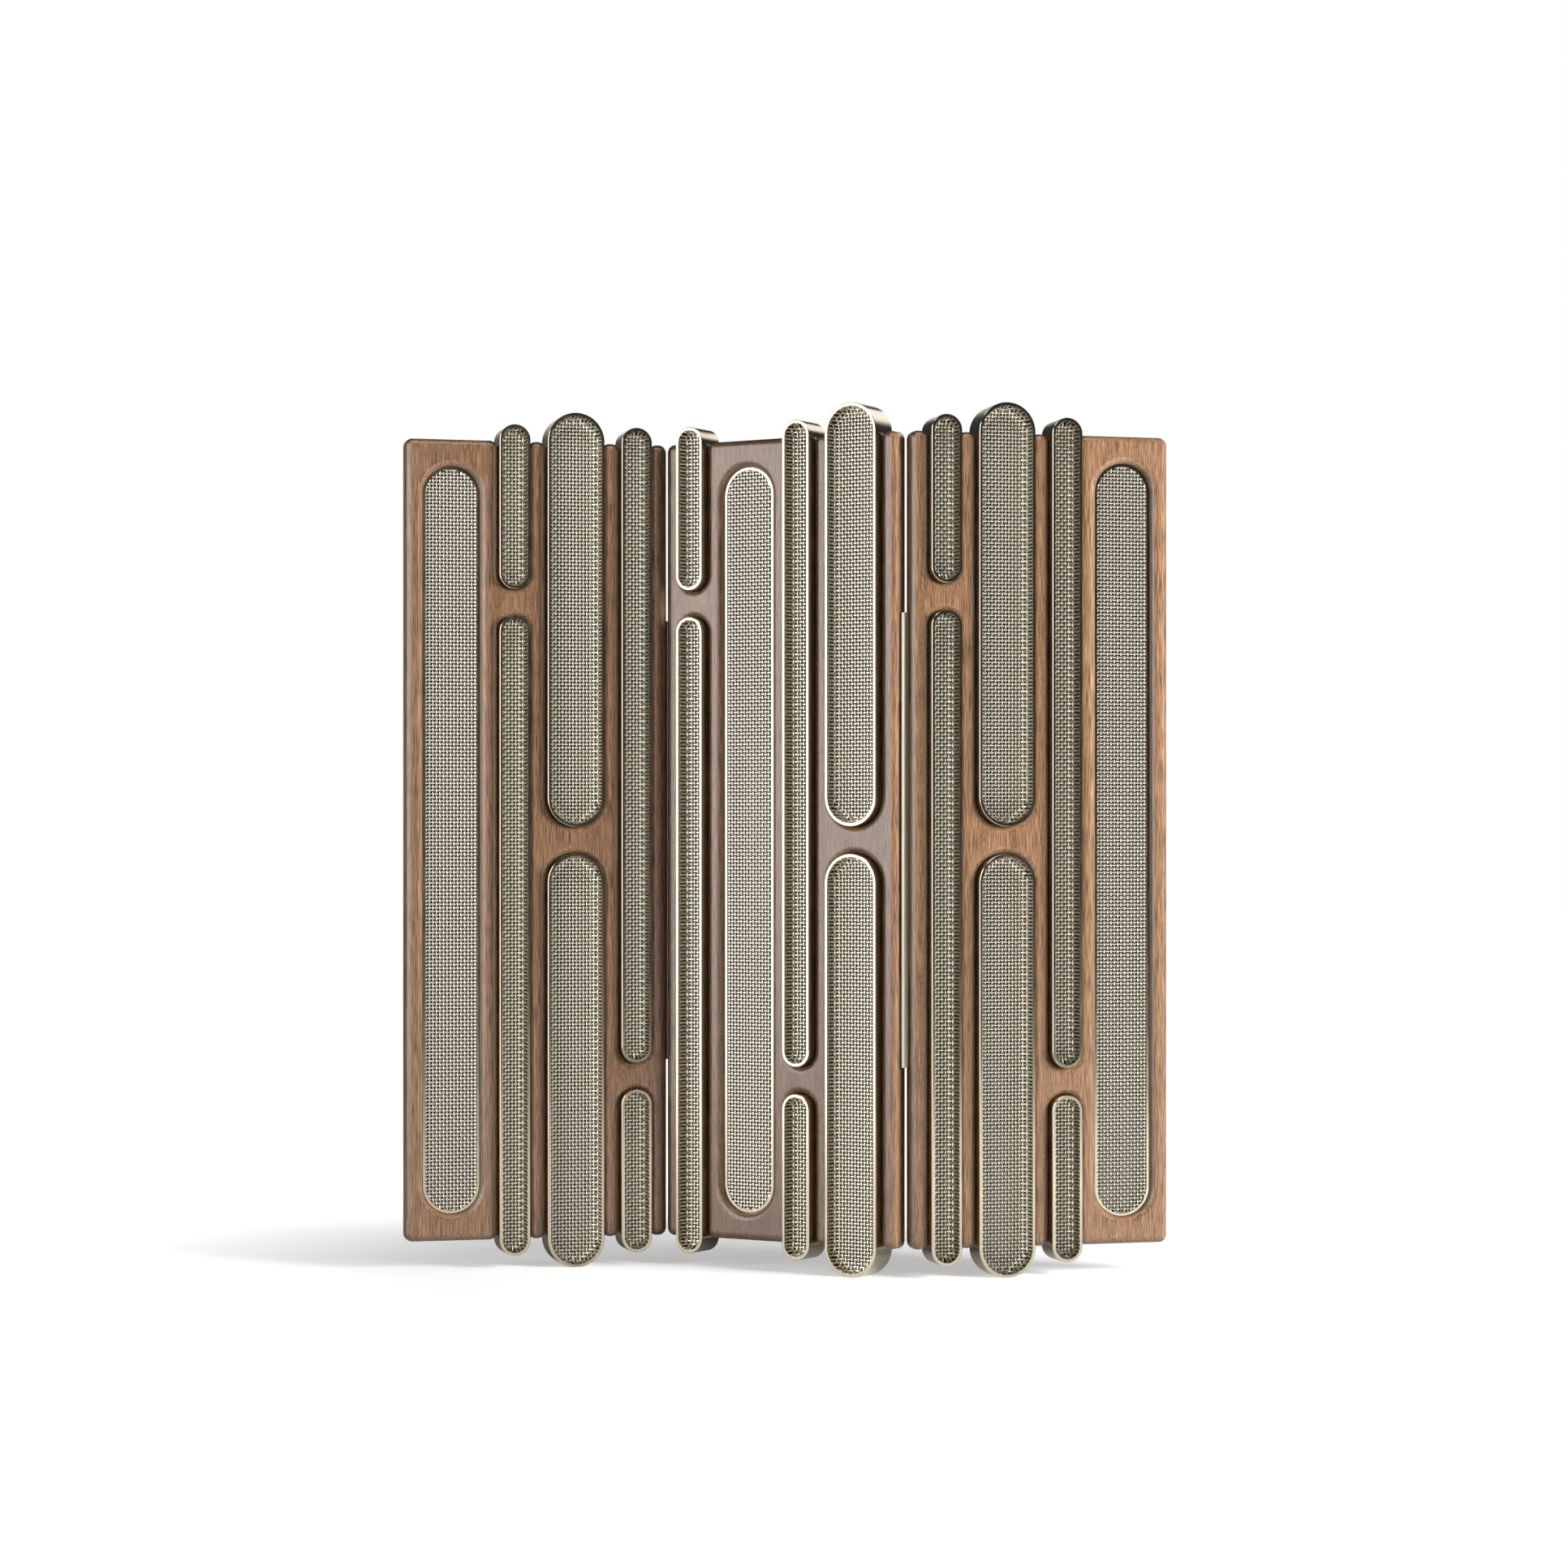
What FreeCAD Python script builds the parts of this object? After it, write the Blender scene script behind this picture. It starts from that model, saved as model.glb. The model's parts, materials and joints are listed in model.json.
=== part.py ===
import FreeCAD, Part
import Sketcher
import math
import os

# Three-leaf folding screen: slotted wooden panels, each carrying seven long metal trays
# with round ends, and two long barrel hinges. One panel frame has X along its width,
# Y through its thickness with the front at -Y and the middle at 0, and Z up from the floor.

doc = FreeCAD.newDocument("FoldingScreen")

# Driving dimensions, in millimetres and degrees
driving = {
    "panel_tall": 1800,
    "panel_thick": 54,
    "stile_width": 39.5,
    "post_width": 39.5,
    "bridge_tall": 60,
    "short_drop": 365,
    "flush_inset": 60,
    "corner_round": 17,
    "edge_round": 16,
    "wide_width": 130,
    "narrow_width": 70,
    "tray_fit": 0.3,
    "tray_proud": 18,
    "tray_back_proud": 2,
    "flush_recess": 15,
    "tray_wall": 2,
    "tray_back": 1.5,
    "lip_width": 6.5,
    "lip_thick": 2.5,
    "rim_bevel": 1.2,
    "foot_flat": 0.8,
    "lining_thick": 4,
    "lining_fit": 0.2,
    "dish_depth": 38,
    "dish_round": 20,
    "flush_dish_depth": 6,
    "flush_dish_round": 3,
    "hinge_long": 1000,
    "end_knuckle_long": 200,
    "knuckle_gap": 0.5,
    "knuckle_radius": 10,
    "pin_radius": 4,
    "pin_fit": 0.05,
    "pivot_reach": 8.5,
    "leaf_thick": 3,
    "leaf_width": 20,
    "leaf_seat": 2,
    "leaf_fit": 0.3,
    "neck_thick": 8,
    "hinge_screw_radius": 2,
    "hinge_screw_long": 20,
    "hinge_screw_inset": 40,
    "tray_screw_radius": 2,
    "tray_screw_bite": 15,
    "tray_screw_head_radius": 4,
    "tray_screw_head_tall": 3,
    "tray_screw_back": 15,
    "tray_screw_inset": 60,
    "screw_fit": 0.1,
    "left_yaw": 14.8,
    "centre_yaw": -30.8,
    "right_yaw": 15.4,
}

sizes = doc.addObject("Spreadsheet::Sheet", "sizes")
for row, (alias, number) in enumerate(driving.items(), start=1):
    sizes.set(f"A{row}", alias.replace("_", " "))
    sizes.set(f"B{row}", str(number))
    sizes.setAlias(f"B{row}", alias)
doc.recompute()


def size(formula):
    return float(sizes.evalExpression(formula))


# Sizes that follow from the driving ones, as formulas on the sheet
panel_foot = "(sizes.wide_width / 2 - sizes.foot_flat)"
panel_head = f"({panel_foot} + sizes.panel_tall)"
panel_middle = f"({panel_foot} + sizes.panel_tall / 2)"
wide_slot = "(sizes.wide_width + 2 * sizes.tray_fit)"
narrow_slot = "(sizes.narrow_width + 2 * sizes.tray_fit)"
panel_width = f"(2 * sizes.stile_width + 3 * sizes.post_width + 2 * {wide_slot} + 2 * {narrow_slot})"
tray_rear = "(sizes.panel_thick / 2 + sizes.tray_back_proud)"
proud_front = "(sizes.panel_thick / 2 + sizes.tray_proud)"
flush_front = "(sizes.panel_thick / 2 - sizes.flush_recess)"
hinge_foot = f"({panel_middle} - sizes.hinge_long / 2)"
groove_deep = "(sizes.leaf_seat + sizes.leaf_thick)"
screw_depth = "(sizes.panel_thick / 2 - sizes.tray_screw_back)"

# Columns of each panel from left to right. Wide columns hold one full tray set in the face
# or two halves. Narrow ones hold a short and a long tray.
panels = {
    "left": ["full", "short_top", "halves", "long_top"],
    "centre": ["short_top", "full", "long_top", "halves"],
    "right": ["short_top", "halves", "long_top", "full"],
}
split_heights = {
    "short_top": f"({panel_head} - sizes.short_drop)",
    "halves": panel_middle,
    "long_top": f"({panel_foot} + sizes.short_drop)",
}


# Sketches and features. Places closer together than this count as one place.
same_place = 0.001

def new_body(label):
    body = doc.addObject("PartDesign::Body", label)
    body.Label = label
    return body


def new_sketch(body, name, plane_role, offset):
    plane = next(part for part in body.Origin.OriginFeatures if part.Role == plane_role)
    sketch = body.newObject("Sketcher::SketchObject", name)
    sketch.AttachmentSupport = (plane, [""])
    sketch.MapMode = "FlatFace"
    sketch.setExpression("AttachmentOffset.Base.z", offset)
    return sketch


def bind(sketch, name, constraint, formula):
    index = sketch.addConstraint(constraint)
    sketch.renameConstraint(index, name)
    sketch.setExpression(f"Constraints.{name}", formula)


def draw_slot(sketch, key, radius, across, low, high):
    # An upright slot with round ends, centred at the heights low and high
    r, x, z0, z1 = (size(formula) for formula in (radius, across, low, high))
    point = FreeCAD.Vector
    high_circle = Part.Circle(point(x, z1, 0), point(0, 0, 1), r)
    top = sketch.addGeometry(Part.ArcOfCircle(high_circle, 0, math.pi))
    left = sketch.addGeometry(Part.LineSegment(point(x - r, z1, 0), point(x - r, z0, 0)))
    low_circle = Part.Circle(point(x, z0, 0), point(0, 0, 1), r)
    bottom = sketch.addGeometry(Part.ArcOfCircle(low_circle, math.pi, 2 * math.pi))
    right = sketch.addGeometry(Part.LineSegment(point(x + r, z0, 0), point(x + r, z1, 0)))
    for first, second in ((top, left), (left, bottom), (bottom, right), (right, top)):
        sketch.addConstraint(Sketcher.Constraint("Tangent", first, 2, second, 1))
    sketch.addConstraint(Sketcher.Constraint("Vertical", left))
    sketch.addConstraint(Sketcher.Constraint("Equal", top, bottom))
    bind(sketch, f"{key}_radius", Sketcher.Constraint("Radius", top, r), radius)
    bind(sketch, f"{key}_across", Sketcher.Constraint("DistanceX", -1, 1, top, 3, x), across)
    bind(sketch, f"{key}_low", Sketcher.Constraint("DistanceY", -1, 1, bottom, 3, z0), low)
    bind(sketch, f"{key}_high", Sketcher.Constraint("DistanceY", -1, 1, top, 3, z1), high)


def draw_box(sketch, key, left, right, low, high):
    x0, x1, z0, z1 = (size(formula) for formula in (left, right, low, high))
    corners = [FreeCAD.Vector(x, z, 0) for x, z in ((x0, z0), (x1, z0), (x1, z1), (x0, z1))]
    lines = [
        sketch.addGeometry(Part.LineSegment(corners[i], corners[(i + 1) % 4]))
        for i in range(4)
    ]
    for i in range(4):
        sketch.addConstraint(Sketcher.Constraint("Coincident", lines[i], 2, lines[(i + 1) % 4], 1))
        kind = "Horizontal" if i % 2 == 0 else "Vertical"
        sketch.addConstraint(Sketcher.Constraint(kind, lines[i]))
    bind(sketch, f"{key}_left", Sketcher.Constraint("DistanceX", -1, 1, lines[0], 1, x0), left)
    bind(sketch, f"{key}_low", Sketcher.Constraint("DistanceY", -1, 1, lines[0], 1, z0), low)
    bind(sketch, f"{key}_right", Sketcher.Constraint("DistanceX", -1, 1, lines[2], 1, x1), right)
    bind(sketch, f"{key}_high", Sketcher.Constraint("DistanceY", -1, 1, lines[2], 1, z1), high)


def draw_circle(sketch, key, radius, across, up):
    r, x, z = (size(formula) for formula in (radius, across, up))
    circle = sketch.addGeometry(Part.Circle(FreeCAD.Vector(x, z, 0), FreeCAD.Vector(0, 0, 1), r))
    bind(sketch, f"{key}_radius", Sketcher.Constraint("Radius", circle, r), radius)
    bind(sketch, f"{key}_across", Sketcher.Constraint("DistanceX", -1, 1, circle, 3, x), across)
    bind(sketch, f"{key}_up", Sketcher.Constraint("DistanceY", -1, 1, circle, 3, z), up)


def pad(body, name, sketch, length, side="One side"):
    feature = body.newObject("PartDesign::Pad", name)
    feature.Profile = sketch
    feature.SideType = side
    feature.setExpression("Length", length)
    doc.recompute()
    return feature


def pocket(body, name, sketch, length, side="One side", turned=False):
    before = body.Shape.Volume
    feature = body.newObject("PartDesign::Pocket", name)
    feature.Profile = sketch
    feature.SideType = side
    feature.Reversed = turned
    feature.setExpression("Length", length)
    doc.recompute()
    if body.Shape.Volume >= before:
        raise RuntimeError(f"{body.Label}: {name} cut nothing")
    return feature


def edges_where(shape, wanted):
    return [f"Edge{i}" for i, edge in enumerate(shape.Edges, start=1) if wanted(edge)]


def round_edges(body, name, wanted, kind, setting, formula):
    base = body.Tip
    feature = body.newObject(f"PartDesign::{kind}", name)
    feature.Base = (base, edges_where(base.Shape, wanted))
    feature.setExpression(setting, formula)
    doc.recompute()
    return feature


def near(first, second):
    return math.isclose(first, second, abs_tol=same_place)


def lies_in_plane(edge, depth):
    box = edge.BoundBox
    return near(box.YMin, depth) and near(box.YMax, depth)


# Layout of the columns and trays

def column_places(kinds):
    # Each column's kind, width and middle, counted from the panel's left edge
    places = []
    edge = "sizes.stile_width"
    for kind in kinds:
        width = "sizes.wide_width" if kind in ("full", "halves") else "sizes.narrow_width"
        middle = f"({edge} + sizes.tray_fit + {width} / 2)"
        places.append((kind, width, middle))
        edge = f"({edge} + {width} + 2 * sizes.tray_fit + sizes.post_width)"
    return places


def trays_of(kind, width):
    # Name ending and the heights of the two end centres of each tray in a column
    if kind == "full":
        low = f"({panel_foot} + sizes.flush_inset + {width} / 2)"
        high = f"({panel_head} - sizes.flush_inset - {width} / 2)"
        return {"full": (low, high)}
    split = split_heights[kind]
    reach = f"(sizes.bridge_tall / 2 + {width} / 2)"
    return {
        "lower": (panel_foot, f"({split} - {reach})"),
        "upper": (f"({split} + {reach})", panel_head),
    }


def slot_heights(name, low, high, width):
    # A slot follows its tray, and one that is open at the panel's edge runs out past it
    if name == "lower":
        return f"({low} - {width})", high
    if name == "upper":
        return low, f"({high} + {width})"
    return low, high


def screw_heights(low, high):
    return f"({low} + sizes.tray_screw_inset)", f"({high} - sizes.tray_screw_inset)"


# Wooden panels

def cut_slots(body, kinds):
    sketch = new_sketch(body, f"{body.Name}_slots", "XZ_Plane", "0")
    for number, (kind, width, middle) in enumerate(column_places(kinds), start=1):
        for name, (low, high) in trays_of(kind, width).items():
            low, high = slot_heights(name, low, high, width)
            radius = f"({width} / 2 + sizes.tray_fit)"
            draw_slot(sketch, f"{name}{number}_slot", radius, middle, low, high)
    pocket(body, f"{body.Name}_slot_cut", sketch, "2 * sizes.panel_thick", "Symmetric")


def round_panel(body):
    edge_heights = (size(panel_foot), size(panel_head))
    half_thick = size("sizes.panel_thick / 2")

    def is_corner(edge):
        box = edge.BoundBox
        upright = near(box.XMin, box.XMax) and near(box.ZMin, box.ZMax)
        return upright and any(near(box.ZMin, height) for height in edge_heights)

    def is_outline(edge):
        return lies_in_plane(edge, half_thick) or lies_in_plane(edge, -half_thick)

    round_edges(body, f"{body.Name}_corners", is_corner, "Fillet", "Radius", "sizes.corner_round")
    round_edges(body, f"{body.Name}_roundover", is_outline, "Fillet", "Radius", "sizes.edge_round")


def drill_tray_holes(body, kinds):
    for number, (kind, width, middle) in enumerate(column_places(kinds), start=1):
        sketch = new_sketch(body, f"{body.Name}_pilots{number}", "YZ_Plane", middle)
        for name, (low, high) in trays_of(kind, width).items():
            for end, height in zip(("low", "high"), screw_heights(low, high)):
                radius = "(sizes.tray_screw_radius + sizes.screw_fit)"
                draw_circle(sketch, f"{name}_{end}", radius, screw_depth, height)
        reach = f"({width} + 2 * sizes.tray_fit + 2 * sizes.tray_screw_bite + 2 * sizes.screw_fit)"
        pocket(body, f"{body.Name}_pilot_cut{number}", sketch, reach, "Symmetric")


def hinge_screw_heights(leaf):
    # The split leaf is screwed behind the middle knuckle, the other behind the end knuckles
    near_end = "sizes.hinge_screw_inset"
    past_knuckle = "(sizes.end_knuckle_long + sizes.hinge_screw_inset)"
    if leaf == "split":
        first, second = past_knuckle, f"({past_knuckle} + 2 * sizes.hinge_screw_inset)"
    else:
        first, second = near_end, "(sizes.end_knuckle_long - sizes.hinge_screw_inset)"
    return [first, second, f"(sizes.hinge_long - {second})", f"(sizes.hinge_long - {first})"]


def cut_hinge_seat(body, edge, leaf):
    # The cuts start from the pivot, so that they come in past the edge's round-overs
    place = f"({panel_width} + sizes.pivot_reach)" if edge == "right" else "-sizes.pivot_reach"
    turned = edge == "left"
    half_wide = "(sizes.leaf_width / 2 + sizes.leaf_fit)"
    low = f"({hinge_foot} - sizes.leaf_fit)"
    high = f"({hinge_foot} + sizes.hinge_long + sizes.leaf_fit)"
    groove = new_sketch(body, f"{body.Name}_{edge}_groove", "YZ_Plane", place)
    draw_box(groove, "groove", f"-{half_wide}", half_wide, low, high)
    groove_reach = f"(sizes.pivot_reach + {groove_deep})"
    pocket(body, f"{body.Name}_{edge}_groove_cut", groove, groove_reach, turned=turned)
    pilots = new_sketch(body, f"{body.Name}_{edge}_hinge_pilots", "YZ_Plane", place)
    for number, height in enumerate(hinge_screw_heights(leaf), start=1):
        radius = "(sizes.hinge_screw_radius + sizes.screw_fit)"
        draw_circle(pilots, f"pilot{number}", radius, "0", f"({hinge_foot} + {height})")
    reach = "(sizes.pivot_reach + sizes.leaf_seat + sizes.hinge_screw_long + sizes.screw_fit)"
    pocket(body, f"{body.Name}_{edge}_hinge_pilot_cut", pilots, reach, turned=turned)


def make_panel(side, kinds):
    body = new_body(f"{side}_panel")
    outline = new_sketch(body, f"{side}_outline", "XZ_Plane", "0")
    draw_box(outline, "outline", "0", panel_width, panel_foot, panel_head)
    pad(body, f"{side}_board", outline, "sizes.panel_thick", "Symmetric")
    cut_slots(body, kinds)
    round_panel(body)
    drill_tray_holes(body, kinds)
    if side in ("left", "centre"):
        cut_hinge_seat(body, "right", "split")
    if side in ("centre", "right"):
        cut_hinge_seat(body, "left", "middle")
    return body


# Metal trays and their woven linings

def make_tray(label, width, middle, low, high, front, stands):
    body = new_body(label)
    outer = f"({width} / 2)"
    inner = f"({width} / 2 - sizes.tray_wall)"
    mouth = f"({width} / 2 - sizes.lip_width)"
    wall = new_sketch(body, f"{label}_wall_outline", "XZ_Plane", f"-{tray_rear}")
    draw_slot(wall, "outer", outer, middle, low, high)
    draw_slot(wall, "inner", inner, middle, low, high)
    pad(body, f"{label}_wall", wall, f"({tray_rear} + {front})")
    back = new_sketch(body, f"{label}_back_outline", "XZ_Plane", f"-{tray_rear}")
    draw_slot(back, "back", outer, middle, low, high)
    pad(body, f"{label}_back", back, "sizes.tray_back")
    lip = new_sketch(body, f"{label}_lip_outline", "XZ_Plane", f"({front} - sizes.lip_thick)")
    draw_slot(lip, "outer", outer, middle, low, high)
    draw_slot(lip, "mouth", mouth, middle, low, high)
    pad(body, f"{label}_lip", lip, "sizes.lip_thick")
    bevel_rim(body, label, front, outer, middle)
    holes = new_sketch(body, f"{label}_hole_outline", "YZ_Plane", middle)
    for end, height in zip(("low", "high"), screw_heights(low, high)):
        draw_circle(holes, end, "(sizes.tray_screw_radius + sizes.screw_fit)", screw_depth, height)
    pocket(body, f"{label}_holes", holes, f"2 * {width}", "Symmetric")
    if stands:
        foot = new_sketch(body, f"{label}_foot_outline", "XZ_Plane", "0")
        draw_box(foot, "foot", f"({middle} - {outer})", f"({middle} + {outer})", "-2 * sizes.foot_flat", "0")
        pocket(body, f"{label}_foot", foot, f"4 * {proud_front}", "Symmetric")
    return body


def bevel_rim(body, label, front, outer, middle):
    depth = -size(front)
    reach = size(outer)
    across = size(middle)

    def is_outer_rim(edge):
        farthest = max(abs(edge.BoundBox.XMin - across), abs(edge.BoundBox.XMax - across))
        return lies_in_plane(edge, depth) and near(farthest, reach)

    round_edges(body, f"{label}_bevel", is_outer_rim, "Chamfer", "Size", "sizes.rim_bevel")


def make_lining(label, width, middle, low, high, front, dish_depth, dish_round):
    body = new_body(label)
    outer = f"({width} / 2 - sizes.tray_wall - sizes.lining_fit)"
    inner = f"({outer} - sizes.lining_thick)"
    lining_front = f"({front} - sizes.lip_thick)"
    lining_rear = f"({front} - {dish_depth} - sizes.lining_thick)"
    shell = new_sketch(body, f"{label}_outline", "XZ_Plane", lining_rear)
    draw_slot(shell, "shell", outer, middle, low, high)
    pad(body, f"{label}_shell", shell, f"({lining_front} - {lining_rear})")
    hollow = new_sketch(body, f"{label}_hollow_outline", "XZ_Plane", lining_front)
    draw_slot(hollow, "hollow", inner, middle, low, high)
    pocket(body, f"{label}_hollow", hollow, f"({dish_depth} - sizes.lip_thick)")
    floor_depth = -size(f"({front} - {dish_depth})")
    rear_depth = -size(lining_rear)
    round_edges(body, f"{label}_floor_round", lambda edge: lies_in_plane(edge, floor_depth),
                "Fillet", "Radius", dish_round)
    round_edges(body, f"{label}_rear_round", lambda edge: lies_in_plane(edge, rear_depth),
                "Fillet", "Radius", f"({dish_round} + sizes.lining_thick)")
    return body


def make_trays(side, kinds):
    made = []
    for number, (kind, width, middle) in enumerate(column_places(kinds), start=1):
        flush = kind == "full"
        front = flush_front if flush else proud_front
        dish_depth = "sizes.flush_dish_depth" if flush else "sizes.dish_depth"
        dish_round = "sizes.flush_dish_round" if flush else "sizes.dish_round"
        for name, (low, high) in trays_of(kind, width).items():
            stands = kind == "halves" and name == "lower"
            place = f"{number}_{name}"
            made.append(make_tray(f"{side}_tray_{place}", width, middle, low, high, front, stands))
            made.append(make_lining(f"{side}_lining_{place}", width, middle, low, high, front,
                                    dish_depth, dish_round))
    return made


# Round-head screws through the tray walls into the wood, one group for each panel

def tray_screw(x, z, outward):
    head_face = FreeCAD.Vector(x, size(screw_depth), z)
    away = FreeCAD.Vector(outward, 0, 0)
    head = Part.makeCylinder(size("sizes.tray_screw_head_radius"), size("sizes.tray_screw_head_tall"),
                             head_face, away.negative())
    shank_long = size("sizes.tray_wall + sizes.tray_fit + sizes.tray_screw_bite")
    shank = Part.makeCylinder(size("sizes.tray_screw_radius"), shank_long, head_face, away)
    return head.fuse(shank).removeSplitter().Solids[0]


def make_tray_screws(side, kinds):
    screws = []
    for kind, width, middle in column_places(kinds):
        inside = size(f"{width} / 2 - sizes.tray_wall")
        for low, high in trays_of(kind, width).values():
            for height in screw_heights(low, high):
                for outward in (-1, 1):
                    screws.append(tray_screw(size(middle) + outward * inside, size(height), outward))
    group = doc.addObject("Part::Feature", f"{side}_tray_screws")
    group.Label = f"{side}_tray_screws"
    group.Shape = Part.makeCompound(screws)
    return group


# Barrel hinges, in a frame with the pivot on Z and the panel on the -X side

def add_box(name, lengths, corner):
    box = doc.addObject("Part::Box", name)
    for setting, formula in zip(("Length", "Width", "Height"), lengths):
        box.setExpression(setting, formula)
    for axis, formula in zip("xyz", corner):
        box.setExpression(f"Placement.Base.{axis}", formula)
    return box


def add_barrel(name, radius, low, tall):
    barrel = doc.addObject("Part::Cylinder", name)
    barrel.setExpression("Radius", radius)
    barrel.setExpression("Height", tall)
    barrel.setExpression("Placement.Base.z", low)
    return barrel


leaf_face = "(sizes.pivot_reach + sizes.leaf_seat)"


def knuckles_of(leaf):
    # Low end and length of each knuckle of a leaf, from the floor
    middle_low = f"({hinge_foot} + sizes.end_knuckle_long + sizes.knuckle_gap)"
    middle_long = "(sizes.hinge_long - 2 * sizes.end_knuckle_long - 2 * sizes.knuckle_gap)"
    top_low = f"({hinge_foot} + sizes.hinge_long - sizes.end_knuckle_long)"
    if leaf == "split":
        return [(hinge_foot, "sizes.end_knuckle_long"), (top_low, "sizes.end_knuckle_long")]
    return [(middle_low, middle_long)]


def add_screw_hole(name, height):
    # A countersunk hole that opens on the leaf's outer face
    cone = doc.addObject("Part::Cone", name)
    cone.setExpression("Radius1", "2 * sizes.hinge_screw_radius + sizes.screw_fit")
    cone.setExpression("Radius2", "sizes.hinge_screw_radius + sizes.screw_fit")
    cone.setExpression("Height", "sizes.hinge_screw_radius")
    shank = doc.addObject("Part::Cylinder", f"{name}_shank")
    shank.setExpression("Radius", "sizes.hinge_screw_radius + sizes.screw_fit")
    shank.setExpression("Height", "2 * sizes.leaf_thick")
    for tool in (cone, shank):
        tool.Placement.Rotation = FreeCAD.Rotation(FreeCAD.Vector(0, 1, 0), -90)
        tool.setExpression("Placement.Base.x", f"-{leaf_face}")
        tool.setExpression("Placement.Base.z", f"{hinge_foot} + {height}")
    return [cone, shank]


def make_leaf(label, leaf):
    plate = add_box(f"{label}_plate", ("sizes.leaf_thick", "sizes.leaf_width", "sizes.hinge_long"),
                    (f"-{leaf_face} - sizes.leaf_thick", "-sizes.leaf_width / 2", hinge_foot))
    solids = [plate]
    for number, (low, tall) in enumerate(knuckles_of(leaf), start=1):
        solids.append(add_barrel(f"{label}_knuckle{number}", "sizes.knuckle_radius", low, tall))
        neck_reach = f"({leaf_face} + sizes.leaf_thick / 2)"
        solids.append(add_box(f"{label}_neck{number}", (neck_reach, "sizes.neck_thick", tall),
                              (f"-{neck_reach}", "-sizes.neck_thick / 2", low)))
    joined = doc.addObject("Part::MultiFuse", f"{label}_blank")
    joined.Shapes = solids
    tools = [add_barrel(f"{label}_bore", "sizes.pin_radius + sizes.pin_fit",
                        f"{hinge_foot} - sizes.knuckle_radius",
                        "sizes.hinge_long + 2 * sizes.knuckle_radius")]
    for number, height in enumerate(hinge_screw_heights(leaf), start=1):
        tools += add_screw_hole(f"{label}_hole{number}", height)
    cutter = doc.addObject("Part::MultiFuse", f"{label}_cutter")
    cutter.Shapes = tools
    leaf_part = doc.addObject("Part::Cut", label)
    leaf_part.Label = label
    leaf_part.Base = joined
    leaf_part.Tool = cutter
    return leaf_part


def make_pin(label):
    pin = add_barrel(label, "sizes.pin_radius", hinge_foot, "sizes.hinge_long")
    pin.Label = label
    return pin


def hinge_screws(leaf):
    screws = []
    inward = FreeCAD.Vector(-1, 0, 0)
    radius = size("sizes.hinge_screw_radius")
    for height in hinge_screw_heights(leaf):
        start = FreeCAD.Vector(-size(leaf_face), 0, size(f"{hinge_foot} + {height}"))
        head = Part.makeCone(2 * radius, radius, radius, start, inward)
        shank = Part.makeCylinder(radius, size("sizes.hinge_screw_long"), start, inward)
        screws.append(head.fuse(shank).removeSplitter().Solids[0])
    return screws


# Where the hinge frames lie in a panel's frame
at_right_edge = FreeCAD.Placement(FreeCAD.Vector(size(f"{panel_width} + sizes.pivot_reach"), 0, 0),
                                  FreeCAD.Rotation())
at_left_edge = FreeCAD.Placement(FreeCAD.Vector(-size("sizes.pivot_reach"), 0, 0),
                                 FreeCAD.Rotation(FreeCAD.Vector(0, 0, 1), 180))


def make_hinge_screws(side, leaves):
    solids = []
    for place, leaf in leaves:
        solids += [screw.transformed(place.toMatrix()) for screw in hinge_screws(leaf)]
    group = doc.addObject("Part::Feature", f"{side}_hinge_screws")
    group.Label = f"{side}_hinge_screws"
    group.Shape = Part.makeCompound(solids)
    return group


# The three panels stand in a zigzag about the two pivots
def yaw_about_z(side):
    return FreeCAD.Rotation(FreeCAD.Vector(0, 0, 1), size(f"sizes.{side}_yaw"))


def panel_frames():
    pivot_left = FreeCAD.Vector(-size("sizes.pivot_reach"), 0, 0)
    pivot_right = FreeCAD.Vector(size(f"{panel_width} + sizes.pivot_reach"), 0, 0)
    centre = FreeCAD.Placement(FreeCAD.Vector(), yaw_about_z("centre"))
    left_turn = yaw_about_z("left")
    right_turn = yaw_about_z("right")
    left = FreeCAD.Placement(centre.multVec(pivot_left) - left_turn.multVec(pivot_right), left_turn)
    right = FreeCAD.Placement(centre.multVec(pivot_right) - right_turn.multVec(pivot_left), right_turn)
    return {"left": left, "centre": centre, "right": right}


frames = panel_frames()
subparts = []


def stand(part, placement):
    part.Placement = placement.multiply(part.Placement)
    subparts.append(part)


for side, kinds in panels.items():
    for piece in [make_panel(side, kinds), make_tray_screws(side, kinds), *make_trays(side, kinds)]:
        stand(piece, frames[side])

stand(make_hinge_screws("left", [(at_right_edge, "split")]), frames["left"])
stand(make_hinge_screws("centre", [(at_right_edge, "split"), (at_left_edge, "middle")]), frames["centre"])
stand(make_hinge_screws("right", [(at_left_edge, "middle")]), frames["right"])

for hinge, split_side, middle_side in (("left", "left", "centre"), ("right", "centre", "right")):
    split_frame = frames[split_side].multiply(at_right_edge)
    middle_frame = frames[middle_side].multiply(at_left_edge)
    leaf_parts = [
        (make_leaf(f"{hinge}_hinge_split_leaf", "split"), split_frame),
        (make_leaf(f"{hinge}_hinge_middle_leaf", "middle"), middle_frame),
    ]
    pin = make_pin(f"{hinge}_hinge_pin")
    doc.recompute()
    for leaf_part, leaf_frame in leaf_parts:
        stand(leaf_part, leaf_frame)
    pin.Placement = FreeCAD.Placement(split_frame.Base + pin.Placement.Base, split_frame.Rotation)
    subparts.append(pin)

# The screen's own origin is under the middle of its outline, on the floor
doc.recompute()
outline = FreeCAD.BoundBox()
for part in subparts:
    outline.add(part.Shape.optimalBoundingBox(False, False))
to_origin = FreeCAD.Placement(FreeCAD.Vector(-outline.Center.x, -outline.Center.y, 0), FreeCAD.Rotation())
for part in subparts:
    part.Placement = to_origin.multiply(part.Placement)
doc.recompute()

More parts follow.
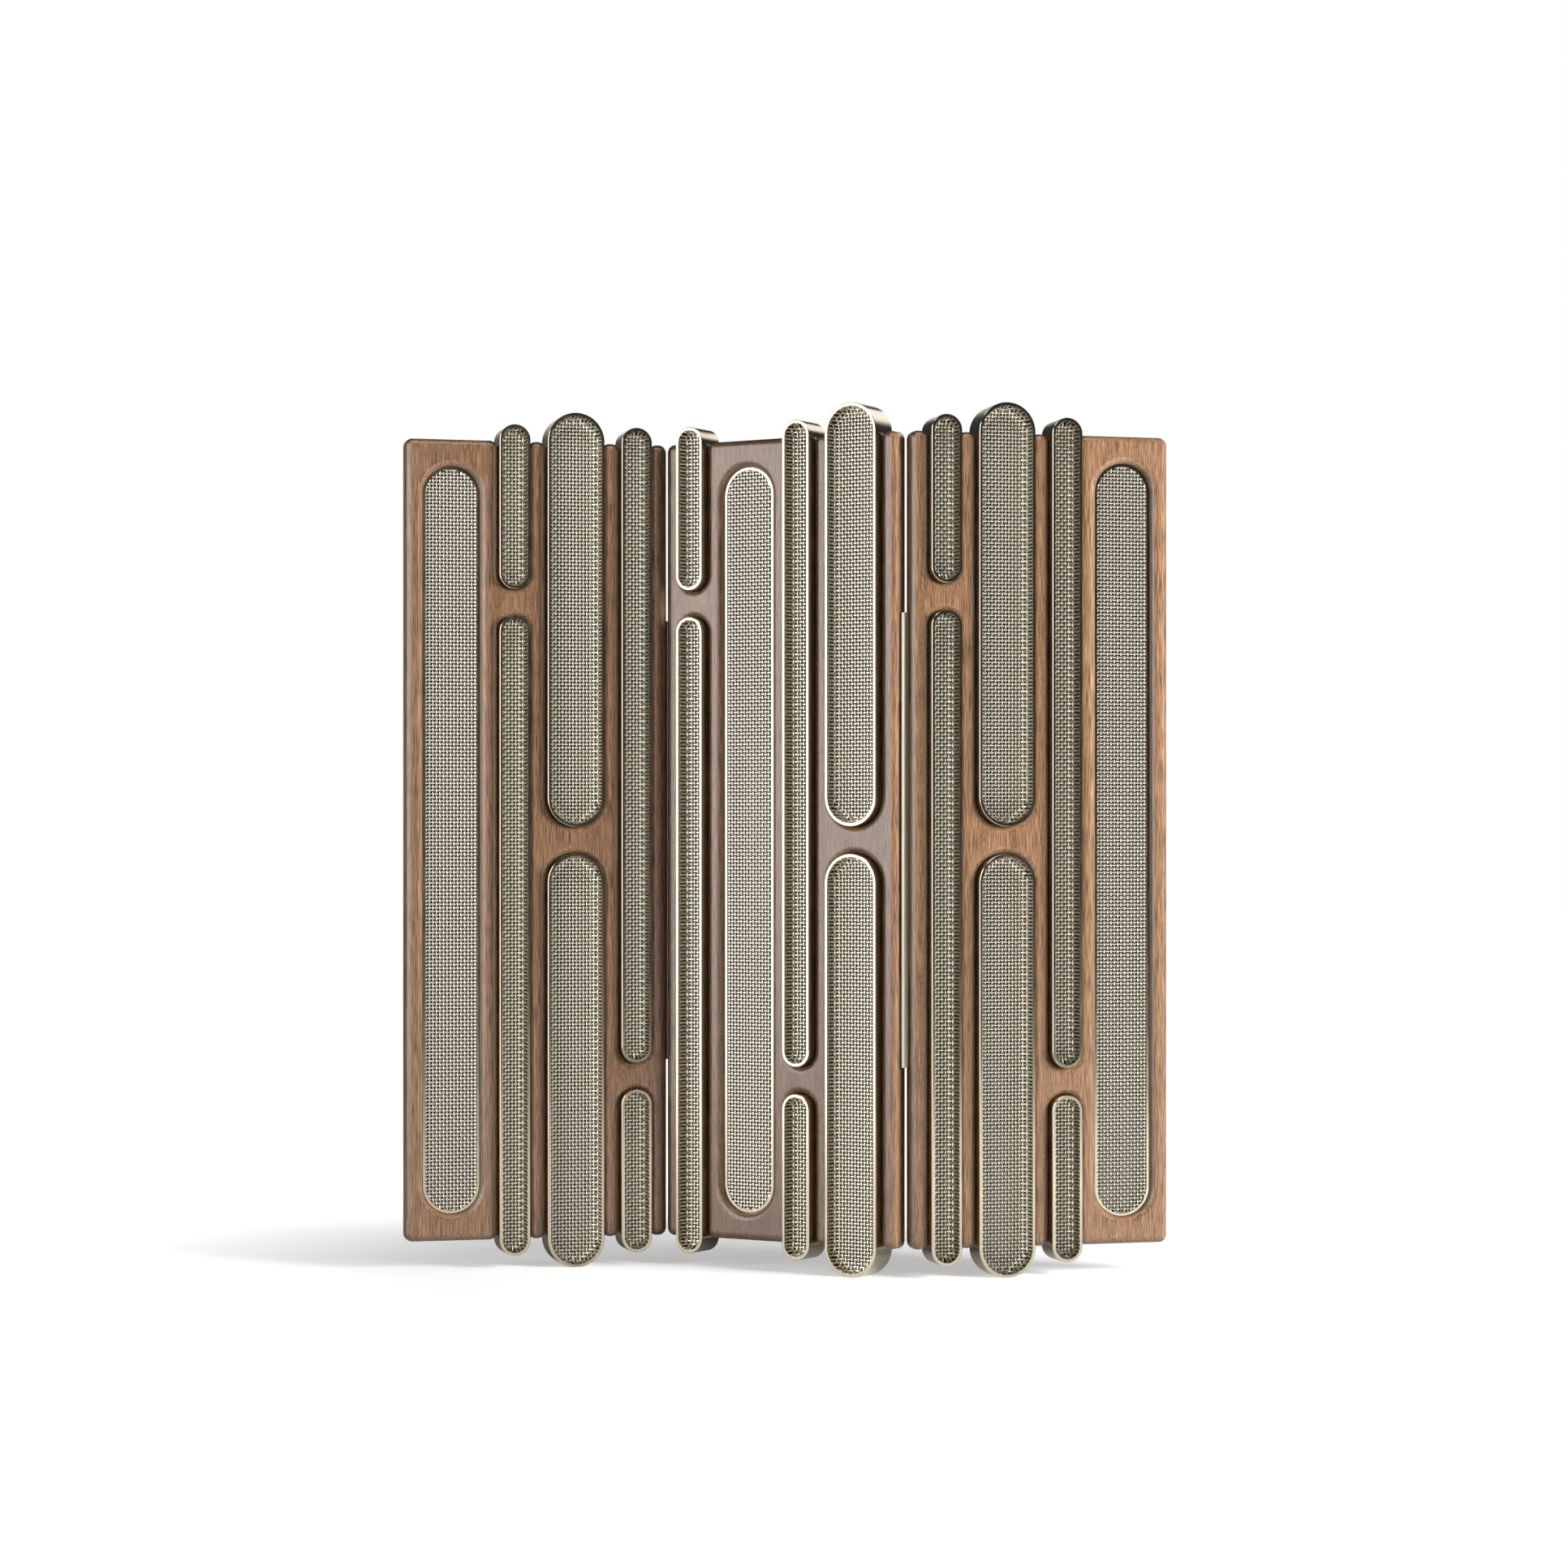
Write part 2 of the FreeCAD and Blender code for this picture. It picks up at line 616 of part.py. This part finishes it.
# Nothing is written unless every feature and solid is sound
for item in doc.Objects:
    if {"Invalid", "Error"} & set(item.State):
        raise RuntimeError(f"{item.Label} failed: {item.State}")
for part in subparts:
    if part.Shape.isNull() or not part.Shape.isValid() or not part.Shape.Solids:
        raise RuntimeError(f"{part.Label} is not a sound solid")

os.makedirs("parts", exist_ok=True)
for part in subparts:
    part.Shape.exportStep(os.path.join("parts", f"{part.Label}.step"))

for hinge, side in (("left", "left"), ("right", "centre")):
    pivot = to_origin.multiply(frames[side]).multVec(at_right_edge.Base)
    print(f"{hinge} pivot at x {pivot.x:.4f} y {pivot.y:.4f}")
print(f"{len(subparts)} sub-parts, {outline.XLength:.1f} x {outline.YLength:.1f} x {outline.ZLength:.1f} mm")
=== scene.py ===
import bpy
import json
import math
from mathutils import Matrix, Vector


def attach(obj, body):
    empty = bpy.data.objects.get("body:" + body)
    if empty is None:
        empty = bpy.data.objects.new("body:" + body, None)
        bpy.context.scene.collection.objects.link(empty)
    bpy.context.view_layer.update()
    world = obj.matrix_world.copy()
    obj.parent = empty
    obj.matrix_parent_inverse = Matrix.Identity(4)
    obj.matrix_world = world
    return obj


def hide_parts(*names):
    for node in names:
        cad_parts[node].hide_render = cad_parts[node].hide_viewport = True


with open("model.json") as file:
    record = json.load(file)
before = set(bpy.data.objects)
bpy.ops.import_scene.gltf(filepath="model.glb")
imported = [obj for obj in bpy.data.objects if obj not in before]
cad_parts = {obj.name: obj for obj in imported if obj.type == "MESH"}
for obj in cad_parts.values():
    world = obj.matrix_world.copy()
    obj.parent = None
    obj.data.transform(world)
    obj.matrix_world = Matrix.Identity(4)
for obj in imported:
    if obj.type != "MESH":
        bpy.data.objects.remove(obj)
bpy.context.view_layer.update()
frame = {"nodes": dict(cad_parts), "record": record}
print("stage 1: frame with", len(frame["nodes"]), "nodes")

# The three panels: the angle of each about the upright axis, in degrees, and where in the log
# its boards were cut, across and along it
panels = {
    "left": {"yaw": 14.8, "cut": (0.31, 0.4)},
    "centre": {"yaw": -30.8, "cut": (-0.12, 2.1)},
    "right": {"yaw": 15.4, "cut": (0.17, 3.7)},
}


def localBox(name, yaw):
    turn = Matrix.Rotation(-math.radians(yaw), 3, "Z")
    corners = [turn @ vertex.co for vertex in frame["nodes"][name].data.vertices]
    low = Vector(min(corner[axis] for corner in corners) for axis in range(3))
    high = Vector(max(corner[axis] for corner in corners) for axis in range(3))
    return low, high


def addNode(tree, kind, **settings):
    node = tree.nodes.new(kind)
    for name, value in settings.items():
        setattr(node, name, value)
    return node


def addMath(tree, operation, first, second):
    node = addNode(tree, "ShaderNodeMath", operation=operation)
    for socket, value in zip(node.inputs, (first, second)):
        if isinstance(value, (int, float)):
            socket.default_value = value
        else:
            tree.links.new(value, socket)
    return node.outputs[0]


# Places of the colour sockets on a Mix node, where each name stands for several kinds of value
mixSocket = {"share": 0, "first": 6, "second": 7, "result": 2}


def addMix(tree, share, first, second):
    node = addNode(tree, "ShaderNodeMix", data_type="RGBA")
    tree.links.new(share, node.inputs[mixSocket["share"]])
    for name, colour in (("first", first), ("second", second)):
        socket = node.inputs[mixSocket[name]]
        if isinstance(colour, tuple):
            socket.default_value = (*colour, 1)
        else:
            tree.links.new(colour, socket)
    return node.outputs[mixSocket["result"]]


def addNoise(tree, vector, stretch, scale, detail):
    mapping = addNode(tree, "ShaderNodeMapping")
    mapping.inputs["Scale"].default_value = stretch
    tree.links.new(vector, mapping.inputs["Vector"])
    noise = addNode(tree, "ShaderNodeTexNoise")
    noise.inputs["Scale"].default_value = scale
    noise.inputs["Detail"].default_value = detail
    tree.links.new(mapping.outputs[0], noise.inputs["Vector"])
    return noise.outputs["Fac"]


def addRamp(tree, value, stops):
    ramp = addNode(tree, "ShaderNodeValToRGB")
    points = ramp.color_ramp.elements
    while len(points) < len(stops):
        points.new(0.5)
    for point, (place, colour) in zip(points, stops):
        point.position = place
        point.color = (*colour, 1)
    tree.links.new(value, ramp.inputs[0])
    return ramp.outputs[0]


def addRange(tree, value, low, high, start, end):
    node = addNode(tree, "ShaderNodeMapRange")
    for name, number in zip(("From Min", "From Max", "To Min", "To Max"), (low, high, start, end)):
        node.inputs[name].default_value = number
    tree.links.new(value, node.inputs["Value"])
    return node.outputs[0]


def addBump(tree, height, shader, strength, distance):
    bump = addNode(tree, "ShaderNodeBump")
    bump.inputs["Strength"].default_value = strength
    bump.inputs["Distance"].default_value = distance
    tree.links.new(height, bump.inputs["Height"])
    tree.links.new(bump.outputs[0], shader.inputs["Normal"])


def newGroup(name, outputs):
    group = bpy.data.node_groups.new(name, "ShaderNodeTree")
    group.interface.new_socket("Vector", in_out="INPUT", socket_type="NodeSocketVector")
    for output in outputs:
        group.interface.new_socket(output, in_out="OUTPUT", socket_type="NodeSocketFloat")
    vector = addNode(group, "NodeGroupInput").outputs["Vector"]
    return group, vector, addNode(group, "NodeGroupOutput")


def newMaterial(name):
    material = bpy.data.materials.new(name)
    material.use_nodes = True
    tree = material.node_tree
    return material, tree, tree.nodes["Principled BSDF"]


def objectVector(tree, shift=(0, 0, 0), yaw=0):
    coordinates = addNode(tree, "ShaderNodeTexCoord")
    turn = addNode(tree, "ShaderNodeMapping")
    turn.inputs["Location"].default_value = shift
    turn.inputs["Rotation"].default_value = (0, 0, -math.radians(yaw))
    tree.links.new(coordinates.outputs["Object"], turn.inputs["Vector"])
    return turn.outputs[0]


# Wood: boards with nested growth lines about the heart of each, fine fibres, broader streaks and
# short dark pores, under a satin lacquer. The growth lines show on the front face only
wood = {
    "boardHalf": 0.036,
    "sway": {"stretch": (1, 1, 1), "scale": 2.5, "detail": 4},
    "wander": 0.03,
    "lineSpacing": 0.0045,
    "lineSlope": 0.24,
    "lineDistortion": 1.5,
    "lineDetail": 2,
    "lineRange": (0.0, 0.40),
    "lineTone": (-0.15, 0.02),
    "flameDepth": (0.001, 0.004),
    "flameWidth": (0.005, 0.016),
    "fibre": {"stretch": (1, 1, 0.03), "scale": 640, "detail": 6},
    "fibreShare": 0.85,
    "fibreRange": (0.3, 0.7),
    "streak": {"stretch": (1, 1, 0.02), "scale": 110, "detail": 3},
    "streakShare": 0.15,
    "pores": {"stretch": (1, 1, 0.08), "scale": 750, "detail": 2},
    "poreRange": (0.57, 0.68),
    "poreStrength": 0.45,
    "stops": [
        (0.41, (0.108, 0.049, 0.021)),
        (0.50, (0.268, 0.141, 0.071)),
        (0.59, (0.405, 0.230, 0.123)),
    ],
    "poreColour": (0.070, 0.033, 0.018),
    "roughness": (0.30, 0.40),
    "specular": 0.6,
    "coat": 0.6,
    "coatRoughness": 0.3,
    "bump": {"strength": 0.25, "distance": 0.0005},
}

# How far a Wave node at scale 1 turns over one unit of length, in radians
waveTurn = 20


def makeGrain():
    group, vector, ends = newGroup("walnutGrain", ("Tone", "Fibre", "Pores"))
    sway = addNoise(group, vector, **wood["sway"])
    place = addNode(group, "ShaderNodeSeparateXYZ")
    group.links.new(vector, place.inputs[0])
    swayed = addMath(group, "MULTIPLY", sway, wood["wander"])
    across = addMath(group, "ADD", place.outputs["X"], swayed)
    fromHeart = addMath(group, "PINGPONG", across, wood["boardHalf"])
    along = addMath(group, "MULTIPLY", place.outputs["Z"], wood["lineSlope"])
    ring = addNode(group, "ShaderNodeCombineXYZ")
    group.links.new(addMath(group, "ADD", fromHeart, along), ring.inputs["X"])
    group.links.new(along, ring.inputs["Z"])
    lines = addNode(group, "ShaderNodeTexWave", wave_type="BANDS", bands_direction="X")
    lines.inputs["Scale"].default_value = 2 * math.pi / (waveTurn * wood["lineSpacing"])
    lines.inputs["Distortion"].default_value = wood["lineDistortion"]
    lines.inputs["Detail"].default_value = wood["lineDetail"]
    group.links.new(ring.outputs[0], lines.inputs["Vector"])
    nearHeart = addRange(group, fromHeart, *wood["flameWidth"], 1, 0)
    nearFace = addRange(group, place.outputs["Y"], *wood["flameDepth"], 1, 0)
    flame = addMath(group, "MULTIPLY", nearHeart, nearFace)
    fibre = addNoise(group, vector, **wood["fibre"])
    streak = addNoise(group, vector, **wood["streak"])
    pores = addNoise(group, vector, **wood["pores"])
    lineShade = addRange(group, lines.outputs["Fac"], *wood["lineRange"], *wood["lineTone"])
    lineTone = addMath(group, "MULTIPLY", lineShade, flame)
    fibreTone = addMath(group, "MULTIPLY", fibre, wood["fibreShare"])
    streakTone = addMath(group, "MULTIPLY", streak, wood["streakShare"])
    tone = addMath(group, "ADD", addMath(group, "ADD", fibreTone, streakTone), lineTone)
    poreMask = addRange(group, pores, *wood["poreRange"], 0, wood["poreStrength"])
    group.links.new(tone, ends.inputs["Tone"])
    group.links.new(fibre, ends.inputs["Fibre"])
    group.links.new(poreMask, ends.inputs["Pores"])
    return group


def makeWalnut(side, grain):
    material, tree, shader = newMaterial(side + "Walnut")
    figure = addNode(tree, "ShaderNodeGroup", node_tree=grain)
    aside, up = panels[side]["cut"]
    yaw = panels[side]["yaw"]
    face = localBox(side + "_panel", yaw)[0].y
    tree.links.new(objectVector(tree, (aside, -face, up), yaw), figure.inputs["Vector"])
    tone = addRamp(tree, figure.outputs["Tone"], wood["stops"])
    colour = addMix(tree, figure.outputs["Pores"], tone, wood["poreColour"])
    tree.links.new(colour, shader.inputs["Base Color"])
    rough = addRange(tree, figure.outputs["Fibre"], *wood["fibreRange"], *wood["roughness"])
    tree.links.new(rough, shader.inputs["Roughness"])
    shader.inputs["Specular IOR Level"].default_value = wood["specular"]
    shader.inputs["Coat Weight"].default_value = wood["coat"]
    shader.inputs["Coat Roughness"].default_value = wood["coatRoughness"]
    addBump(tree, figure.outputs["Fibre"], shader, **wood["bump"])
    return material


# Metals: a faint lengthwise streak in each colour and a cloud in its roughness. The weave's colour is
# darkened towards its valleys by the crest value that its wires carry, a painted shade between the
# wires
metals = {
    "champagne_metal": {"colour": (0.53, 0.47, 0.36), "rough": (0.15, 0.22), "shade": 0.12},
    # The woven wire's valley colour is painted shade in the hollows between its wires
    "woven_wire": {"colour": (0.65, 0.61, 0.525), "rough": (0.11, 0.16), "shade": 0.10,
                   "valley": (0.10, 0.078, 0.048), "tarnish": (0.15, 0.76)},
    "hinge_bronze": {"colour": (0.37, 0.328, 0.255), "rough": (0.32, 0.40), "shade": 0.14},
    "screw_steel": {"colour": (0.55, 0.55, 0.54), "rough": (0.25, 0.38), "shade": 0.10},
}
polish = {
    "streak": {"stretch": (1, 1, 0.01), "scale": 700, "detail": 3},
    "cloud": {"stretch": (1, 1, 1), "scale": 18, "detail": 4},
    "spread": (0.3, 0.7),
    "bump": {"strength": 0.05, "distance": 0.0002},
}


def makeFinish():
    group, vector, ends = newGroup("metalFinish", ("Streak", "Cloud"))
    group.links.new(addNoise(group, vector, **polish["streak"]), ends.inputs["Streak"])
    group.links.new(addNoise(group, vector, **polish["cloud"]), ends.inputs["Cloud"])
    return group


def makeMetal(slot, finish):
    look = metals[slot]
    material, tree, shader = newMaterial(slot.replace("_", " ").title().replace(" ", ""))
    surface = addNode(tree, "ShaderNodeGroup", node_tree=finish)
    tree.links.new(objectVector(tree), surface.inputs["Vector"])
    low, high = polish["spread"]
    dim = tuple(part * (1 - look["shade"]) for part in look["colour"])
    colour = addRamp(tree, surface.outputs["Streak"], [(low, dim), (high, look["colour"])])
    if "valley" in look:
        # Painted shade: the colour goes over to the dark valley colour where the crest value is low
        crest = addNode(tree, "ShaderNodeAttribute", attribute_name="crest")
        unshaded = addRange(tree, crest.outputs["Fac"], *look["tarnish"], 0, 1)
        colour = addMix(tree, unshaded, look["valley"], colour)
    tree.links.new(colour, shader.inputs["Base Color"])
    rough = addRange(tree, surface.outputs["Cloud"], low, high, *look["rough"])
    tree.links.new(rough, shader.inputs["Roughness"])
    shader.inputs["Metallic"].default_value = 1
    addBump(tree, surface.outputs["Streak"], shader, **polish["bump"])
    return material


grain = makeGrain()
finish = makeFinish()
metalOf = {slot: makeMetal(slot, finish) for slot in metals}
slotOf = {piece["node"]: piece["material_slot"] for piece in frame["record"]["subparts"]}
for side in panels:
    for slot in frame["nodes"][side + "_panel"].material_slots:
        slot.material = makeWalnut(side, grain)
for name, node in frame["nodes"].items():
    if slotOf[name] in metalOf:
        for slot in node.material_slots:
            slot.material = metalOf[slotOf[name]]
print("stage 2: materials")

# Woven wire: a plain weave pressed into the dish of each tray, its wires straight seen from the front
weave = {
    "pitch": 0.008,
    "wireRadius": 0.003,
    "wireSides": 6,
    "crimp": 0.0021,
    "stepsPerPitch": 2,
    "fromWall": 0.0028,
    "tuck": 0.001,
    "deepRound": 0.022,
    "shallowRound": 0.005,
    "deepFrom": 0.02,
    "steepSlopes": (50, 70, 90),
    # How far the painted valley shade is lifted on the dish walls
    "wallClean": 0.9,
    "sizeDigits": 3,
}


def dishFrom(size):
    radius = size.x / 2 - weave["fromWall"]
    bend = weave["deepRound"] if size.y > weave["deepFrom"] else weave["shallowRound"]
    wall = size.y - weave["fromWall"] - bend - weave["tuck"]
    return {"radius": radius, "flat": radius - bend, "bend": bend, "wall": max(wall, 0),
            "straight": (size.z - size.x) / 2}


def dishPoint(dish, across, along, lift, climb):
    beyond = math.copysign(max(abs(along) - dish["straight"], 0), along)
    run = math.hypot(across, beyond)
    steep = min(max((run - dish["flat"]) / dish["bend"], 0), 1)
    level = math.sqrt(1 - steep ** 2)
    inward = lift * steep / run if run else 0
    rise = dish["bend"] * (1 - level) + lift * level + climb
    return across * (1 - inward), -rise, along - beyond * inward


def wireStops(dish, base, aside):
    # Half of a wire's stops: even steps on the floor, then the steep part and the top of the wall
    step = weave["pitch"] / weave["stepsPerPitch"]
    ends = []
    for slope in weave["steepSlopes"]:
        run = dish["flat"] + dish["bend"] * math.sin(math.radians(slope))
        if run > aside:
            ends.append((base + math.sqrt(run ** 2 - aside ** 2), 0))
    even = [(index * step, 0) for index in range(int((ends[0][0] - step / 2) / step) + 1)]
    return even + ends + [(ends[-1][0], dish["wall"])]


def wirePath(dish, place, warp, phase):
    base = dish["straight"] if warp else 0
    aside = abs(place) if warp else max(abs(place) - dish["straight"], 0)
    half = wireStops(dish, base, aside)
    stops = [(-travel, climb) for travel, climb in reversed(half[1:])] + half
    path = []
    for travel, climb in stops:
        lift = phase * weave["crimp"] * math.cos(math.pi * travel / weave["pitch"])
        across, along = (place, travel) if warp else (travel, place)
        path.append(dishPoint(dish, across, along, 0 if climb else lift, climb))
    return path


def weavePaths(dish):
    # Neighbouring wires rise and dip in turn, and the two directions pass over and under each other
    pitch = weave["pitch"]
    paths = []
    for warp, reach in ((True, dish["radius"]), (False, dish["straight"] + dish["radius"])):
        count = int((reach - weave["wireRadius"]) / pitch)
        for index in range(-count, count + 1):
            phase = (-1) ** index if warp else -(-1) ** index
            paths.append(wirePath(dish, index * pitch, warp, phase))
    return paths


def crestOf(dish, place):
    # Height over the middle of the weave as a share of the highest: 1 on top of a wire, -1 behind it,
    # and more up the walls, so that the painted valley shade is lighter on the walls than on the floor
    beyond = max(abs(place.z) - dish["straight"], 0)
    past = max(math.hypot(place.x, beyond) - dish["flat"], 0)
    below = max(dish["bend"] + place.y, 0)
    unshaded = weave["wallClean"] * min(past / dish["bend"], 1)
    return (dish["bend"] - math.hypot(past, below)) / (weave["crimp"] + weave["wireRadius"]) + unshaded


def makeSection():
    bpy.ops.object.select_all(action="DESELECT")
    bpy.ops.curve.primitive_bezier_circle_add(radius=weave["wireRadius"])
    section = bpy.context.object
    section.data.splines.clear()
    ring = section.data.splines.new("POLY")
    ring.points.add(weave["wireSides"] - 1)
    for index, point in enumerate(ring.points):
        angle = 2 * math.pi * index / weave["wireSides"]
        point.co = (weave["wireRadius"] * math.cos(angle), weave["wireRadius"] * math.sin(angle), 0, 1)
    ring.use_cyclic_u = True
    return section


def makeWeave(size, section):
    wires = bpy.data.curves.new("weave", "CURVE")
    wires.dimensions = "3D"
    wires.bevel_mode = "OBJECT"
    wires.bevel_object = section
    wires.use_fill_caps = True
    dish = dishFrom(size)
    for path in weavePaths(dish):
        wire = wires.splines.new("POLY")
        wire.points.add(len(path) - 1)
        for point, place in zip(wire.points, path):
            point.co = (*place, 1)
    piece = bpy.data.objects.new("weave", wires)
    bpy.context.scene.collection.objects.link(piece)
    bpy.ops.object.select_all(action="DESELECT")
    piece.select_set(True)
    bpy.context.view_layer.objects.active = piece
    bpy.ops.object.convert(target="MESH")
    bpy.ops.object.shade_smooth()
    piece = bpy.context.object
    # The crest value sets the painted shade in the weave's valleys
    crest = piece.data.attributes.new("crest", "FLOAT", "POINT")
    crest.data.foreach_set("value", [crestOf(dish, vertex.co) for vertex in piece.data.vertices])
    return piece


section = makeSection()
patterns = {}
for name in sorted(frame["nodes"]):
    if "_lining_" not in name:
        continue
    side = name.split("_")[0]
    low, high = localBox(name, panels[side]["yaw"])
    size = high - low
    key = tuple(round(length, weave["sizeDigits"]) for length in size)
    if key not in patterns:
        patterns[key] = makeWeave(size, section)
    piece = patterns[key].copy()
    piece.data = patterns[key].data.copy()
    piece.name = name.replace("_lining_", "Weave").replace("_", "")
    bpy.context.scene.collection.objects.link(piece)
    floor = high.y - weave["fromWall"]
    seat = Vector(((low.x + high.x) / 2, floor, (low.z + high.z) / 2))
    turn = Matrix.Rotation(math.radians(panels[side]["yaw"]), 4, "Z")
    piece.data.transform(turn @ Matrix.Translation(seat))
    piece.data.materials.append(metalOf["woven_wire"])
    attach(piece, side)
    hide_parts(name)
for pattern in patterns.values():
    bpy.data.objects.remove(pattern)
bpy.data.objects.remove(section)
print("stage 3: woven linings in", len(patterns), "sizes")

# Studio: a pale floor that whitens away from the screen and glows in metal only in front of it, in a
# dark surround with a white backdrop
studio = {
    "middle": Vector((0, 0, 1.1)),
    "floorRadius": 40,
    "floorSides": 96,
    "floorColour": (0.86, 0.86, 0.86),
    "floorBounce": (0.2, 0.2, 0.2),
    "floorRoughness": 0.9,
    "floorSpecular": 0.1,
    "glowReach": (0.8, 1.9),
    "glow": (0.43, 1.0),
    "mirrorReach": (2.5, 4.5),
    "mirrorGlow": 0.6,
    "mirrorDepth": (-0.4, 0.2),
    "darkness": 0.04,
    "backdrop": (0.9, 0.97),
}
# Lights: a gloss one shows only as sheen, and a diffuse one lights only what is matt
lights = {
    "left": {"place": (-3.4, -2.8, 1.6), "size": (5.2, 5.0), "power": 300, "seenBy": "gloss"},
    "leftKey": {"place": (-4.1, -1.8, 1.6), "size": (1.6, 2.2), "power": 63, "seenBy": "diffuse"},
    "right": {"place": (4.4, -1.3, 1.8), "size": (2.0, 3.6), "power": 30, "seenBy": "both"},
    "rightKey": {"place": (4.3, -2.5, 1.9), "size": (2.2, 2.6), "power": 432, "seenBy": "diffuse"},
    "front": {"place": (-0.2, -5.0, 1.8), "size": (2.2, 4.4), "power": 32, "seenBy": "gloss"},
    "rear": {"place": (3.1, 3.9, 4.2), "size": (2.8, 1.6), "power": 26, "seenBy": "gloss"},
    "top": {"place": (0.2, -1.6, 4.6), "size": (3.6, 1.4), "power": 50, "seenBy": "gloss"},
}
# Camera: level, with its frame shifted up
view = {"place": (0, -8.1674, 0.9642), "lens": 83.68, "shiftY": 0.03576}


def makeFloor():
    bpy.ops.object.select_all(action="DESELECT")
    bpy.ops.mesh.primitive_circle_add(
        vertices=studio["floorSides"], radius=studio["floorRadius"], fill_type="NGON")
    floor = bpy.context.object
    floor.name = "floor"
    material, tree, shader = newMaterial("paleFloor")
    shader.inputs["Roughness"].default_value = studio["floorRoughness"]
    shader.inputs["Specular IOR Level"].default_value = studio["floorSpecular"]
    shader.inputs["Emission Color"].default_value = (1, 1, 1, 1)
    rays = addNode(tree, "ShaderNodeLightPath")
    colour = addMix(tree, rays.outputs["Is Diffuse Ray"], studio["floorColour"], studio["floorBounce"])
    tree.links.new(colour, shader.inputs["Base Color"])
    spot = objectVector(tree)
    away = addNode(tree, "ShaderNodeVectorMath", operation="LENGTH")
    tree.links.new(spot, away.inputs[0])
    place = addNode(tree, "ShaderNodeSeparateXYZ")
    tree.links.new(spot, place.inputs[0])
    glow = addRange(tree, away.outputs["Value"], *studio["glowReach"], *studio["glow"])
    seen = addMath(tree, "MULTIPLY", rays.outputs["Is Camera Ray"], glow)
    pool = addRange(tree, away.outputs["Value"], *studio["mirrorReach"], studio["mirrorGlow"], 0)
    inFront = addRange(tree, place.outputs["Y"], *studio["mirrorDepth"], 1, 0)
    poolInFront = addMath(tree, "MULTIPLY", pool, inFront)
    mirrored = addMath(tree, "MULTIPLY", rays.outputs["Is Glossy Ray"], poolInFront)
    tree.links.new(addMath(tree, "ADD", seen, mirrored), shader.inputs["Emission Strength"])
    floor.data.materials.append(material)
    return floor


def makeLight(name):
    setting = lights[name]
    bpy.ops.object.select_all(action="DESELECT")
    bpy.ops.object.light_add(type="AREA", location=setting["place"])
    light = bpy.context.object
    light.name = name + "Light"
    light.rotation_euler = (studio["middle"] - light.location).to_track_quat("-Z", "Y").to_euler()
    light.data.shape = "RECTANGLE"
    light.data.size, light.data.size_y = setting["size"]
    light.data.energy = setting["power"]
    light.visible_camera = False
    light.visible_glossy = setting["seenBy"] != "diffuse"
    light.visible_diffuse = setting["seenBy"] != "gloss"
    return light


def makeWorld():
    world = bpy.data.worlds.new("studio")
    bpy.context.scene.world = world
    world.use_nodes = True
    tree = world.node_tree
    rays = addNode(tree, "ShaderNodeLightPath")
    coordinates = addNode(tree, "ShaderNodeTexCoord")
    direction = addNode(tree, "ShaderNodeSeparateXYZ")
    tree.links.new(coordinates.outputs["Generated"], direction.inputs[0])
    behind = addRange(tree, direction.outputs["Y"], *studio["backdrop"], 0, 1)
    mirrored = addMath(tree, "MULTIPLY", rays.outputs["Is Glossy Ray"], behind)
    seen = addMath(tree, "MAXIMUM", rays.outputs["Is Camera Ray"], mirrored)
    level = addMath(tree, "MAXIMUM", seen, studio["darkness"])
    shade = tree.nodes["Background"]
    shade.inputs["Color"].default_value = (1, 1, 1, 1)
    tree.links.new(level, shade.inputs["Strength"])


def makeCamera():
    bpy.ops.object.select_all(action="DESELECT")
    bpy.ops.object.camera_add(location=view["place"], rotation=(math.pi / 2, 0, 0))
    camera = bpy.context.object
    camera.data.lens = view["lens"]
    camera.data.shift_y = view["shiftY"]
    bpy.context.scene.camera = camera


makeWorld()
makeCamera()
makeFloor()
[makeLight(name) for name in lights]
bpy.context.scene.view_settings.view_transform = "Standard"
print("stage 4: studio")
